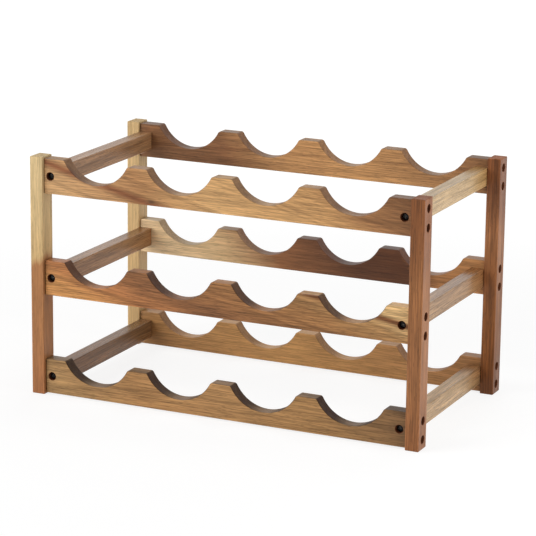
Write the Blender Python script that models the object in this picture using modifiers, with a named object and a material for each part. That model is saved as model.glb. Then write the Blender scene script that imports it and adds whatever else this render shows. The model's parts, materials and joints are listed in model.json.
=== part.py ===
"""Wine rack for twelve bottles in oiled acacia, modelled piece by piece.

Four corner posts carry three tiers. Each tier has a scalloped cradle rail in front and
another behind, joined end to end by two plain side rails. A cradle rail butts against
the inner faces of its two posts and is held by a pair of screws driven through each
post into its end. A side rail butts between the two cradle rails of its tier, close
against the posts, and is held by one screw driven through each cradle rail. Every screw
head sits at the bottom of a counterbore.

Frame: metres, +X to the right, +Y to the back, +Z up, with the origin on the floor
under the middle of the rack.
"""

import itertools
import math

import bmesh
import bpy
from mathutils import Matrix, Vector

# ---------------------------------------------------------------- driving dimensions

OVERALL_WIDTH = 0.450          # over the outer faces of the posts, along X
OVERALL_DEPTH = 0.240          # over the front and back faces of the posts, along Y
POST_HEIGHT = 0.262
POST_WIDTH = 0.015             # along X
POST_DEPTH = 0.021             # along Y

RAIL_HEIGHT = 0.038            # a cradle rail at its full height
RAIL_THICKNESS = 0.015
RAIL_SETBACK = 0.0035          # a cradle rail's outer face behind the posts' outer faces
RAIL_END_MARGIN = 0.0015       # top rails below the post tops, bottom rails off the floor
MIDDLE_TIER_DROP = 0.001       # the middle tier below halfway between the other two

CRADLE_RADIUS = 0.0415         # the scallop that a bottle lies in
CRADLE_WEB = 0.0145            # wood left under a scallop
CRADLE_CORNER_RADIUS = 0.0035  # where a scallop meets the flat top

SIDE_RAIL_WIDTH = 0.015        # along X
SIDE_RAIL_HEIGHT = 0.020

SCREW_LENGTH = 0.027           # under the head
SCREW_TIP_LENGTH = 0.005
SHANK_RADIUS = 0.0019
HEAD_RADIUS = 0.00375
HEAD_HEIGHT = 0.0024
HEAD_CROWN_RADIUS = 0.0022     # the flat middle of the domed head
HEAD_RIM_HEIGHT = 0.0011       # the straight edge below the dome
SCREW_INSET = 0.009            # post screws from the rail's top and bottom edges
POST_COUNTERBORE = 0.007       # depth of the seat below the post's outer face
RAIL_COUNTERBORE = 0.005       # depth of the seat below the rail's outer face
SHOULDER_WALL = 0.0027         # wood between a post screw's hole and the first scallop

# ---------------------------------------------------------------- clearances

FIT_GAP = 0.0003               # between two pieces that touch
HEAD_CLEARANCE = 0.0007        # round a screw head in its counterbore
TIP_CLEARANCE = 0.001          # beyond a screw's tip in its hole

# ---------------------------------------------------------------- edges and facets

EDGE_ROUND = 0.001             # eased long edges of every wooden piece
BLOCK_EDGE_SEGMENTS = 2
BOARD_EDGE_SEGMENTS = 1
SHARP_EDGE = math.radians(40)  # edges steeper than this are eased
FLAT_ANGLE = math.radians(0.1) # faces closer than this are one flat face
CRADLE_SEGMENTS = 18
CORNER_SEGMENTS = 2
HOLE_SEGMENTS = 12
SCREW_SEGMENTS = 10
MERGE_DISTANCE = 0.00001

TIERS = ("bottom", "middle", "top")
SIDES_X = {"left": -1, "right": 1}
SIDES_Y = {"front": -1, "back": 1}

# ---------------------------------------------------------------- finishes

WOOD_ROUGHNESS = 0.48
SCREW_COLOUR = (24, 23, 23)
SCREW_ROUGHNESS = 0.38
POST_COLOURS = {
    ("front", "left"): (212, 178, 124),
    ("front", "right"): (146, 91, 58),
    ("back", "left"): (208, 172, 118),
    ("back", "right"): (118, 70, 46),
}
CRADLE_RAIL_COLOURS = {
    ("front", "top"): (198, 146, 96),
    ("front", "middle"): (182, 126, 80),
    ("front", "bottom"): (176, 131, 88),
    ("back", "top"): (178, 128, 82),
    ("back", "middle"): (158, 98, 62),
    ("back", "bottom"): (188, 138, 86),
}
SIDE_RAIL_COLOURS = {
    ("left", "top"): (166, 124, 92),
    ("left", "middle"): (146, 112, 80),
    ("left", "bottom"): (152, 112, 80),
    ("right", "top"): (206, 178, 130),
    ("right", "middle"): (188, 158, 124),
    ("right", "bottom"): (186, 146, 100),
}


# ---------------------------------------------------------------- derived sizes


def cradle_rise():
    """Height of a scallop's corner centres below the centre of the scallop."""
    cradle_depth = RAIL_HEIGHT - CRADLE_WEB
    return CRADLE_RADIUS + CRADLE_CORNER_RADIUS - cradle_depth


def cradle_half_width():
    """Half the opening of a scallop at the rail's top, its rounded corners included."""
    corner_reach = CRADLE_RADIUS + CRADLE_CORNER_RADIUS
    return math.sqrt(corner_reach ** 2 - cradle_rise() ** 2)


def cradle_rail_length():
    """Length of a cradle rail, which fills the space between its two posts."""
    return OVERALL_WIDTH - 2 * (POST_WIDTH + FIT_GAP)


def cradle_centres():
    """Centres of the scallops along the rail, from its middle, left to right.

    A plain shoulder is left at each end, a little longer than the post screws' holes.
    As many scallops as fit share out the rest evenly, with no land between two of them
    narrower than the wood left under one.
    """
    screw_reach = POST_COUNTERBORE + SCREW_LENGTH - POST_WIDTH - FIT_GAP
    shoulder = screw_reach + TIP_CLEARANCE + SHOULDER_WALL
    opening = 2 * cradle_half_width()
    usable = cradle_rail_length() - 2 * shoulder
    count = max(1, int((usable + CRADLE_WEB) / (opening + CRADLE_WEB)))
    if count == 1:
        return [0.0]
    pitch = (usable - opening) / (count - 1)
    return [(index - (count - 1) / 2) * pitch for index in range(count)]


def tier_heights():
    """Height of the middle of each tier's rails above the floor, by tier name."""
    lowest = RAIL_END_MARGIN + RAIL_HEIGHT / 2
    highest = POST_HEIGHT - RAIL_END_MARGIN - RAIL_HEIGHT / 2
    middle = (lowest + highest) / 2 - MIDDLE_TIER_DROP
    return dict(zip(TIERS, (lowest, middle, highest)))


def post_centre(side_x, side_y):
    """Centre of a post in plan, for the signs of its two sides."""
    return (
        side_x * (OVERALL_WIDTH - POST_WIDTH) / 2,
        side_y * (OVERALL_DEPTH - POST_DEPTH) / 2,
    )


def cradle_rail_face_y(side_y):
    """Outer face of a cradle rail, a little behind the posts' outer faces."""
    return side_y * (OVERALL_DEPTH / 2 - RAIL_SETBACK)


def cradle_rail_centre_y(side_y):
    """Middle of a cradle rail's thickness, for the sign of its side."""
    return cradle_rail_face_y(side_y) - side_y * RAIL_THICKNESS / 2


def side_rail_centre_x(side_x):
    """Middle of a side rail's width, close against the inner faces of the posts."""
    return side_x * (OVERALL_WIDTH / 2 - POST_WIDTH - FIT_GAP - SIDE_RAIL_WIDTH / 2)


def side_rail_length():
    """Length of a side rail, which fills the space between the two cradle rails."""
    return OVERALL_DEPTH - 2 * (RAIL_SETBACK + RAIL_THICKNESS + FIT_GAP)


# ---------------------------------------------------------------- scene helpers


def clear_scene():
    """Remove every object that the scene holds."""
    for existing in list(bpy.data.objects):
        bpy.data.objects.remove(existing, do_unlink=True)


def new_collection(name):
    """Make a collection in the scene and return it."""
    collection = bpy.data.collections.new(name)
    bpy.context.scene.collection.children.link(collection)
    return collection


def linear_colour(srgb):
    """Turn an 0-255 display colour into the linear RGBA that a shader takes."""
    channels = [value / 255 for value in srgb]
    linear = [
        value / 12.92 if value <= 0.04045 else ((value + 0.055) / 1.055) ** 2.4
        for value in channels
    ]
    return (*linear, 1.0)


def make_material(name, srgb, roughness, metallic=0.0):
    """Make a material with one Principled BSDF and return it."""
    material = bpy.data.materials.new(name)
    material.use_nodes = True
    shader = material.node_tree.nodes["Principled BSDF"]
    shader.inputs["Base Color"].default_value = linear_colour(srgb)
    shader.inputs["Roughness"].default_value = roughness
    shader.inputs["Metallic"].default_value = metallic
    material.diffuse_color = linear_colour(srgb)
    return material


def add_empty(name, collection, parent=None, location=(0, 0, 0)):
    """Add an empty that carries other objects and return it."""
    empty = bpy.data.objects.new(name, None)
    empty.empty_display_size = POST_DEPTH
    empty.location = location
    empty.parent = parent
    collection.objects.link(empty)
    return empty


# ---------------------------------------------------------------- solids


def block_mesh(name, size):
    """Mesh of a box of the given size, centred on its origin."""
    block = bmesh.new()
    bmesh.ops.create_cube(block, size=1.0)
    bmesh.ops.scale(block, vec=Vector(size), verts=block.verts)
    mesh = bpy.data.meshes.new(name)
    block.to_mesh(mesh)
    block.free()
    return mesh


def evaluated_mesh(name, data, modify=None):
    """Mesh that some object data makes once its modifiers have run.

    The object that carries the data is made for this and removed again.
    """
    carrier = bpy.data.objects.new(name + "_source", data)
    bpy.context.scene.collection.objects.link(carrier)
    if modify:
        modify(carrier)
    bpy.context.view_layer.update()
    evaluated = carrier.evaluated_get(bpy.context.evaluated_depsgraph_get())
    mesh = bpy.data.meshes.new_from_object(evaluated)
    mesh.name = name
    mesh.transform(carrier.matrix_world)
    bpy.data.objects.remove(carrier, do_unlink=True)
    return mesh


def smooth_round_faces(mesh):
    """Shade a mesh smooth, but for its sharp edges."""
    mesh.shade_smooth()
    mesh.set_sharp_from_angle(angle=SHARP_EDGE)


def turned_mesh(name, profile, segments):
    """Mesh turned about its own Z from a half profile of (radius, height) points.

    The profile runs from the top of the axis down its outer side to the bottom.
    """
    line = bpy.data.meshes.new(name + "_profile")
    points = [(radius, 0.0, height) for radius, height in profile]
    edges = [(index, index + 1) for index in range(len(points) - 1)]
    line.from_pydata(points, edges, [])

    def add_lathe(carrier):
        lathe = carrier.modifiers.new("Lathe", "SCREW")
        lathe.angle = math.tau
        lathe.steps = segments
        lathe.render_steps = segments
        lathe.use_merge_vertices = True
        lathe.merge_threshold = MERGE_DISTANCE

    mesh = evaluated_mesh(name, line, add_lathe)
    smooth_round_faces(mesh)
    return mesh


def arc_points(centre, radius, start, end, segments):
    """Points along an arc about a centre, from one angle to another, both included."""
    return [
        (
            centre[0] + radius * math.cos(start + (end - start) * step / segments),
            centre[1] + radius * math.sin(start + (end - start) * step / segments),
        )
        for step in range(segments + 1)
    ]


def cradle_points(centre_x):
    """One scallop and its two rounded corners, left to right, in the rail's outline.

    Each corner arc is tangent to the flat top and to the scallop.
    """
    half_width = cradle_half_width()
    corner_z = RAIL_HEIGHT / 2 - CRADLE_CORNER_RADIUS
    tangent = math.atan2(cradle_rise(), half_width)
    left_corner = arc_points(
        (centre_x - half_width, corner_z), CRADLE_CORNER_RADIUS,
        math.pi / 2, tangent, CORNER_SEGMENTS,
    )
    scallop = arc_points(
        (centre_x, corner_z + cradle_rise()), CRADLE_RADIUS,
        math.pi + tangent, math.tau - tangent, CRADLE_SEGMENTS,
    )
    right_corner = arc_points(
        (centre_x + half_width, corner_z), CRADLE_CORNER_RADIUS,
        math.pi - tangent, math.pi / 2, CORNER_SEGMENTS,
    )
    return left_corner + scallop[1:-1] + right_corner


def cradle_rail_outline():
    """Closed outline of a cradle rail in its own plane, centred on its origin."""
    half_length = cradle_rail_length() / 2
    half_height = RAIL_HEIGHT / 2
    points = [(half_length, half_height), (half_length, -half_height)]
    points += [(-half_length, -half_height), (-half_length, half_height)]
    for centre_x in cradle_centres():
        points += cradle_points(centre_x)
    return points


def board_mesh(name, points, thickness):
    """Mesh of a board cut to a flat outline.

    The outline is drawn as a filled 2D curve. Its loose caps are welded on.
    """
    curve = bpy.data.curves.new(name + "_outline", "CURVE")
    curve.dimensions = "2D"
    curve.fill_mode = "BOTH"
    curve.extrude = thickness / 2
    spline = curve.splines.new("POLY")
    spline.points.add(len(points) - 1)
    for spline_point, (x, y) in zip(spline.points, points):
        spline_point.co = (x, y, 0.0, 1.0)
    spline.use_cyclic_u = True
    mesh = evaluated_mesh(name, curve)

    board = bmesh.new()
    board.from_mesh(mesh)
    bmesh.ops.remove_doubles(board, verts=board.verts, dist=MERGE_DISTANCE)
    bmesh.ops.dissolve_limit(
        board, angle_limit=FLAT_ANGLE, verts=board.verts, edges=board.edges,
    )
    bmesh.ops.recalc_face_normals(board, faces=board.faces)
    board.to_mesh(mesh)
    board.free()
    smooth_round_faces(mesh)
    return mesh


def ease_edges(piece, segments):
    """Round the sharp edges of a wooden piece."""
    bevel = piece.modifiers.new("Eased edges", "BEVEL")
    bevel.width = EDGE_ROUND
    bevel.segments = segments
    bevel.limit_method = "ANGLE"
    bevel.angle_limit = SHARP_EDGE
    bevel.use_clamp_overlap = True


def drill_holes(piece, drills):
    """Cut every drill that meets the piece out of it."""
    cut = piece.modifiers.new("Screw holes", "BOOLEAN")
    cut.operation = "DIFFERENCE"
    cut.operand_type = "COLLECTION"
    cut.collection = drills
    cut.solver = "EXACT"


def add_wooden_piece(name, mesh, srgb, collection, parent, location, drills, segments):
    """Place a wooden piece, with its eased edges, its screw holes and its material."""
    piece = bpy.data.objects.new(name, mesh)
    collection.objects.link(piece)
    piece.parent = parent
    piece.location = location
    ease_edges(piece, segments)
    drill_holes(piece, drills)
    mesh.materials.append(make_material(name, srgb, WOOD_ROUGHNESS))


# ---------------------------------------------------------------- screws and drills


def screw_profile():
    """Half profile of a pan-head wood screw, with the underside of its head at zero."""
    return [
        (0.0, HEAD_HEIGHT),
        (HEAD_CROWN_RADIUS, HEAD_HEIGHT),
        (HEAD_RADIUS, HEAD_RIM_HEIGHT),
        (HEAD_RADIUS, 0.0),
        (SHANK_RADIUS, 0.0),
        (SHANK_RADIUS, SCREW_TIP_LENGTH - SCREW_LENGTH),
        (0.0, -SCREW_LENGTH),
    ]


def drill_profile():
    """Half profile of the hole that a screw needs, with the counterbore's floor at zero.

    It reaches out of the wood by the counterbore's own radius.
    """
    bore = HEAD_RADIUS + HEAD_CLEARANCE
    mouth = max(POST_COUNTERBORE, RAIL_COUNTERBORE) + bore
    hole = SHANK_RADIUS + FIT_GAP
    bottom = -SCREW_LENGTH - TIP_CLEARANCE
    return [
        (0.0, mouth),
        (bore, mouth),
        (bore, 0.0),
        (hole, 0.0),
        (hole, bottom),
        (0.0, bottom),
    ]


def screw_seats(side_x, side_y):
    """Seats of the screws at one corner of a tier: name, place and outward direction.

    A seat is the middle of a counterbore's floor, with its height measured from the
    middle of the tier's rails.
    """
    post_seat_x = side_x * (OVERALL_WIDTH / 2 - POST_COUNTERBORE)
    rail_seat_y = cradle_rail_face_y(side_y) - side_y * RAIL_COUNTERBORE
    rise = RAIL_HEIGHT / 2 - SCREW_INSET
    centre_y = cradle_rail_centre_y(side_y)
    return [
        ("post_screw_upper", Vector((post_seat_x, centre_y, rise)), Vector((side_x, 0, 0))),
        ("post_screw_lower", Vector((post_seat_x, centre_y, -rise)), Vector((side_x, 0, 0))),
        (
            "rail_screw",
            Vector((side_rail_centre_x(side_x), rail_seat_y, 0.0)),
            Vector((0, side_y, 0)),
        ),
    ]


def build_screws(parts, drills, tier_empties):
    """Build every screw, and the drill that makes its hole from the same seat."""
    screw_mesh = turned_mesh("screw", screw_profile(), SCREW_SEGMENTS)
    screw_mesh.materials.append(
        make_material("screw_black", SCREW_COLOUR, SCREW_ROUGHNESS, metallic=1.0)
    )
    drill_mesh = turned_mesh("drill", drill_profile(), HOLE_SEGMENTS)
    for place_y, place_x, tier in itertools.product(SIDES_Y, SIDES_X, TIERS):
        for kind, seat, outward in screw_seats(SIDES_X[place_x], SIDES_Y[place_y]):
            name = "_".join((kind, place_y, place_x, tier))
            turn = outward.to_track_quat("Z", "Y").to_euler()

            screw = bpy.data.objects.new(name, screw_mesh)
            parts.objects.link(screw)
            screw.parent = tier_empties[tier]
            screw.location = seat + FIT_GAP * outward
            screw.rotation_euler = turn

            drill = bpy.data.objects.new("drill_" + name, drill_mesh)
            drills.objects.link(drill)
            drill.parent = tier_empties[tier]
            drill.location = seat
            drill.rotation_euler = turn
            drill.hide_render = True
            drill.display_type = "WIRE"


# ---------------------------------------------------------------- wooden pieces


def build_posts(parts, drills, rack):
    """Build the four corner posts."""
    size = (POST_WIDTH, POST_DEPTH, POST_HEIGHT)
    for place_y, place_x in itertools.product(SIDES_Y, SIDES_X):
        name = "post_" + place_y + "_" + place_x
        location = (*post_centre(SIDES_X[place_x], SIDES_Y[place_y]), POST_HEIGHT / 2)
        add_wooden_piece(
            name, block_mesh(name, size), POST_COLOURS[place_y, place_x],
            parts, rack, location, drills, BLOCK_EDGE_SEGMENTS,
        )


def build_cradle_rails(parts, drills, tier_empties):
    """Build the scalloped rails, one in front and one behind on each tier."""
    board = board_mesh("cradle_rail", cradle_rail_outline(), RAIL_THICKNESS)
    board.transform(Matrix.Rotation(math.pi / 2, 4, "X"))
    for place_y, tier in itertools.product(SIDES_Y, TIERS):
        add_wooden_piece(
            "cradle_rail_" + place_y + "_" + tier, board.copy(),
            CRADLE_RAIL_COLOURS[place_y, tier], parts, tier_empties[tier],
            (0.0, cradle_rail_centre_y(SIDES_Y[place_y]), 0.0), drills, BOARD_EDGE_SEGMENTS,
        )


def build_side_rails(parts, drills, tier_empties):
    """Build the plain rails that join the front of each tier to its back."""
    size = (SIDE_RAIL_WIDTH, side_rail_length(), SIDE_RAIL_HEIGHT)
    for place_x, tier in itertools.product(SIDES_X, TIERS):
        name = "side_rail_" + place_x + "_" + tier
        add_wooden_piece(
            name, block_mesh(name, size), SIDE_RAIL_COLOURS[place_x, tier],
            parts, tier_empties[tier], (side_rail_centre_x(SIDES_X[place_x]), 0.0, 0.0),
            drills, BLOCK_EDGE_SEGMENTS,
        )


def main():
    """Build the whole rack."""
    clear_scene()
    parts = new_collection("wine_rack")
    drills = new_collection("wine_rack_drills")
    rack = add_empty("wine_rack_origin", parts)
    tier_empties = {
        tier: add_empty("tier_" + tier, parts, rack, (0.0, 0.0, height))
        for tier, height in tier_heights().items()
    }
    build_screws(parts, drills, tier_empties)
    build_posts(parts, drills, rack)
    build_cradle_rails(parts, drills, tier_empties)
    build_side_rails(parts, drills, tier_empties)
    bpy.context.view_layer.update()


main()
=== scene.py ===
"""Wine rack in oiled acacia: its finished shapes, its materials, the studio and the camera.

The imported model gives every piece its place. Each wooden piece is modelled again with
soft edges and round holes and dressed as a board of its own, and each screw gets its
cross recess and thread. The rack then stands in a plain pale studio.
"""

import itertools
import json
import logging
import math
from collections.abc import Sequence
from dataclasses import dataclass
from enum import Enum

import bmesh
import bpy
from mathutils import Matrix, Vector


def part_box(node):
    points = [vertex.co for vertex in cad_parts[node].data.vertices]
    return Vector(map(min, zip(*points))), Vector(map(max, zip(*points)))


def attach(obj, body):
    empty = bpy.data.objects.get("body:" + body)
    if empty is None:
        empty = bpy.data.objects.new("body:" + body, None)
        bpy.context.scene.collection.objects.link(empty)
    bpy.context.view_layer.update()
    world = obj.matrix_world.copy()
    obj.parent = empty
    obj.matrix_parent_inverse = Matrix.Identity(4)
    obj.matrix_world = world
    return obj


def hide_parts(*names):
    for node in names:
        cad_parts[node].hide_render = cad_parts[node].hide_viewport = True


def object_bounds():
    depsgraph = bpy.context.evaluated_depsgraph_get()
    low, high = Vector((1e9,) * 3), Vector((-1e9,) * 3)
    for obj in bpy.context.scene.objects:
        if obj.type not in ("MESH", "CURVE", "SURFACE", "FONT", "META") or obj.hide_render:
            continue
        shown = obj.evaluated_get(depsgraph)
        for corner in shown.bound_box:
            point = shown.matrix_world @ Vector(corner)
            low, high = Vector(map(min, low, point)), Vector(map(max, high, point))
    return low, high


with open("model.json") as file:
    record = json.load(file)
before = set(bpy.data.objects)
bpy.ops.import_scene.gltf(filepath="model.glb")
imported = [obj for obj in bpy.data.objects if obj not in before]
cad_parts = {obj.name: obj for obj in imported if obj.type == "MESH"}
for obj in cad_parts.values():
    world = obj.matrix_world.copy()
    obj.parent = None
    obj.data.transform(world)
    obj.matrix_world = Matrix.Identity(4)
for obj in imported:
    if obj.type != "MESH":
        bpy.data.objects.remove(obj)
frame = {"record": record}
CAD_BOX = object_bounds()
LOWEST, HIGHEST = (Vector(corner) for corner in CAD_BOX)
MIDDLE = (LOWEST + HIGHEST) / 2

BODY = "root"
LOG = logging.getLogger("wine_rack")

Colour = int  # 0xRRGGBB
Shape = bmesh.types.BMesh
Piece = bpy.types.Object
Tree = bpy.types.NodeTree
Socket = bpy.types.NodeSocket
Sockets = bpy.types.bpy_prop_collection
Value = float | Socket

# Face layers that tell the materials what was done to a face.
EASED = "eased"
DRILLED = "drilled"

SHARP_ANGLE = math.radians(35)
MERGE_DISTANCE = 1e-7


# ---- names and places


class Place(Enum):
    """The sides of the rack, by the words that node names use."""

    LEFT = "left"
    RIGHT = "right"
    FRONT = "front"
    BACK = "back"


class Tier(Enum):
    """The three tiers, from the floor up, by the words that node names use."""

    BOTTOM = "bottom"
    MIDDLE = "middle"
    TOP = "top"


class Axis(Enum):
    """The direction that a board's grain runs in."""

    X = Vector((1, 0, 0))
    Y = Vector((0, 1, 0))
    Z = Vector((0, 0, 1))

    @property
    def turn(self) -> Matrix:
        """Rotation that brings this axis onto X, where the grain patterns run."""
        return self.value.rotation_difference(Axis.X.value).to_matrix().to_4x4()


def linear(colour: Colour) -> tuple[float, float, float, float]:
    """Turn a display colour into the linear one that shaders take.

    Args:
        colour: red, green and blue, two hexadecimal digits each.

    Returns:
        The linear colour with an alpha of 1.
    """
    channels = [channel / 255 for channel in colour.to_bytes(3, "big")]
    red, green, blue = (
        value / 12.92 if value <= 0.04045 else ((value + 0.055) / 1.055) ** 2.4
        for value in channels
    )
    return (red, green, blue, 1.0)


# ---- node building


class Graph:
    """Adds nodes to a node tree and wires them as it goes."""

    def __init__(self, tree: Tree) -> None:
        """Work on the given tree."""
        self.tree = tree

    def add(self, kind: str, inputs: dict | None = None, **settings: object) -> bpy.types.Node:
        """Add a node.

        Args:
            kind: the node's type.
            inputs: socket name or number to a value or to the socket that feeds it.
            settings: the node's own properties.

        Returns:
            The new node.
        """
        node = self.tree.nodes.new(kind)
        for name, value in settings.items():
            setattr(node, name, value)
        for key, value in (inputs or {}).items():
            self.feed(node.inputs[key], value)
        return node

    def feed(self, socket: Socket, value: object) -> None:
        """Link a socket to the one that feeds it, or set its value.

        Args:
            socket: the socket to feed.
            value: its value, or the socket that feeds it.
        """
        if isinstance(value, Socket):
            self.tree.links.new(value, socket)
        else:
            socket.default_value = value

    def use(self, group: Tree, inputs: dict) -> Sockets:
        """Place a shared group, feed it, and return its outputs."""
        return self.add("ShaderNodeGroup", inputs, node_tree=group).outputs

    def math(self, operation: str, *values: Value) -> Socket:
        """Work out one number from others."""
        return self.add("ShaderNodeMath", dict(enumerate(values)), operation=operation).outputs[0]

    def vector(self, operation: str, *values: object) -> Socket:
        """Work out a vector, or a length or dot product, from vectors.

        Args:
            operation: what the node does.
            values: what it takes, in order, as values or sockets.

        Returns:
            The result.
        """
        node = self.add("ShaderNodeVectorMath", operation=operation)
        for index, value in enumerate(values):
            key = "Scale" if operation == "SCALE" and index == 1 else index
            self.feed(node.inputs[key], value)
        return node.outputs["Value" if operation in ("LENGTH", "DOT_PRODUCT") else "Vector"]

    def stretch(self, point: Socket, waves: tuple[float, float], shift: Socket) -> Socket:
        """Find a point's place in a pattern with its own waves per metre along X and across."""
        along, across = waves
        return self.vector("ADD", self.vector("MULTIPLY", point, (along, across, across)), shift)

    def noise(self, point: Socket, detail: float = 2.0, rough: float = 0.5) -> Sockets:
        """Add a three-dimensional noise texture and return its outputs."""
        inputs = {"Vector": point, "Scale": 1.0, "Detail": detail, "Roughness": rough}
        return self.add("ShaderNodeTexNoise", inputs).outputs

    def step(self, value: Value, low: Value, high: Value) -> Socket:
        """Rise smoothly from 0 to 1.

        Args:
            value: the number that decides how far the rise has come.
            low: the number where it starts.
            high: the number where it ends.

        Returns:
            The rise.
        """
        inputs = {"Value": value, "From Min": low, "From Max": high}
        node = self.add("ShaderNodeMapRange", inputs, interpolation_type="SMOOTHSTEP")
        return node.outputs["Result"]

    def span(self, value: Value, low: Value, high: Value) -> Socket:
        """Stretch a value from 0 to 1 over a range of its own."""
        inputs = {"Value": value, "To Min": low, "To Max": high}
        return self.add("ShaderNodeMapRange", inputs).outputs["Result"]

    def mix(self, factor: Value, first: object, second: object) -> Socket:
        """Mix two colours."""
        inputs = {"Factor": factor, "A": first, "B": second}
        return self.add("ShaderNodeMix", inputs, data_type="RGBA").outputs["Result"]

    def shade(self, colour: object, amount: Value) -> Socket:
        """Multiply a colour by a number."""
        return self.vector("SCALE", colour, amount)

    def shade_either_way(self, colour: object, mask: Value, amount: float) -> Socket:
        """Darken a colour by an amount where a mask is 0, and lighten it where it is 1."""
        return self.shade(colour, self.span(mask, 1.0 - amount, 1.0 + amount))

    def end_in_shader(self, inputs: dict, height: Socket, strength: float, depth: float) -> None:
        """End a material in one principled shader.

        Args:
            inputs: the shader's inputs, apart from its normal.
            height: the relief, from 0 to 1.
            strength: how strongly the relief shows.
            depth: how deep it is, in metres.
        """
        relief = {"Height": height, "Strength": strength, "Distance": depth}
        normal = self.add("ShaderNodeBump", relief).outputs["Normal"]
        shader = self.add("ShaderNodeBsdfPrincipled", inputs | {"Normal": normal})
        self.add("ShaderNodeOutputMaterial", {"Surface": shader.outputs["BSDF"]})


def blank_graph(owner: bpy.types.Material | bpy.types.World) -> Graph:
    """Clear the nodes of a material or a world, to build them afresh.

    Args:
        owner: the material or the world.

    Returns:
        The empty graph.
    """
    owner.use_nodes = True
    owner.node_tree.nodes.clear()
    return Graph(owner.node_tree)


def new_group(
    name: str, vectors: Sequence[str], numbers: Sequence[str], outputs: Sequence[str]
) -> tuple[Graph, Sockets]:
    """Start a shader node group.

    Args:
        name: the group's name.
        vectors: the vectors that it takes.
        numbers: the numbers that it takes.
        outputs: the numbers that it puts out.

    Returns:
        The group's graph, and the sockets that bring its inputs in.
    """
    tree = bpy.data.node_groups.new(name, "ShaderNodeTree")
    for in_out, kind, sockets in (
        ("INPUT", "Vector", vectors), ("INPUT", "Float", numbers), ("OUTPUT", "Float", outputs)
    ):
        for socket in sockets:
            tree.interface.new_socket(socket, in_out=in_out, socket_type="NodeSocket" + kind)
    graph = Graph(tree)
    return graph, graph.add("NodeGroupInput").outputs


# ---- patterns of the wood

# Waves per metre of each pattern, along the grain and across it.
DRIFT_WAVES = (5.0, 30.0)
RIPPLE_WAVES = (22.0, 130.0)
PATCH_WAVES = (12.0, 70.0)
MOTTLE_WAVES = (9.0, 120.0)
FIBRE_WAVES = (30.0, 1050.0)
PORE_WAVES = (90.0, 900.0)
CLOUD_WAVES = (9.0, 110.0)
JAG_WAVES = (50.0, 700.0)
WEAR_AND_HIGHLIGHT_WAVES = 130.0

# How far a board's seed moves it through the endless patterns.
LOG_SHIFT = (1.7, 3.1, 5.3)
GRAIN_SHIFT = (2.3, 4.1, 0.9)
TONE_SHIFT = (0.7, 1.9, 3.7)
GROWTH_SHIFT = 13.7

# The range of values over which each mask changes.
BAND_RANGE = (0.3, 0.7)
STREAK_RANGE = (0.5, 0.72)
MOTTLE_RANGE = (0.28, 0.72)
FIBRE_RANGE = (0.3, 0.7)
PORE_RANGE = (0.12, 0.32)
END_RANGE = (0.05, 0.5)
UPPER_RANGE = (0.3, 0.8)
RUBBED_AND_HIGHLIT_RANGE = (0.3, 0.7)

RIPPLE_SHARE = 0.22
KNOT_STRETCH = 2.0
PATCHINESS = 0.4
CLOUD_SHARE = 2.0


def log_space_group() -> Tree:
    """Place a point of a board inside the log that the board was sawn from.

    Returns:
        A group that puts out the distance from the log's pith, in metres, with the waves
        of the grain and the swelling round a knot in it, and how near the knot is.
    """
    vectors = ("Vector", "Pith", "Tilt", "Knot")
    numbers = ("Seed", "Waviness", "Knot Size")
    graph, given = new_group("log_space", vectors, numbers, ("Rings", "Near Knot"))
    point = given["Vector"]
    seed = graph.vector("SCALE", LOG_SHIFT, given["Seed"])

    drift = graph.noise(graph.stretch(point, DRIFT_WAVES, seed))["Color"]
    ripple = graph.noise(graph.stretch(point, RIPPLE_WAVES, seed))["Color"]
    waves = graph.vector("ADD", drift, graph.vector("SCALE", ripple, RIPPLE_SHARE))
    waves = graph.vector("SUBTRACT", waves, ((1.0 + RIPPLE_SHARE) / 2,) * 3)
    waves = graph.vector("SCALE", waves, given["Waviness"])

    from_knot = graph.vector("SUBTRACT", point, given["Knot"])
    from_knot = graph.vector("MULTIPLY", from_knot, (1.0 / KNOT_STRETCH, 1.0, 1.0))
    reach = graph.math("DIVIDE", graph.vector("LENGTH", from_knot), given["Knot Size"])
    reach = graph.math("MULTIPLY", graph.math("POWER", reach, 2.0), -1.0)
    near = graph.math("POWER", math.e, reach)

    along = graph.add("ShaderNodeSeparateXYZ", {0: point}).outputs["X"]
    axis = graph.vector("ADD", given["Pith"], graph.vector("SCALE", given["Tilt"], along))
    away = graph.vector("SUBTRACT", graph.vector("ADD", point, waves), axis)
    rings = graph.vector("LENGTH", graph.vector("MULTIPLY", away, (0.0, 1.0, 1.0)))
    rings = graph.math("MULTIPLY_ADD", near, given["Knot Size"], rings)
    graph.add("NodeGroupOutput", {"Rings": rings, "Near Knot": near})
    return graph.tree


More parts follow.
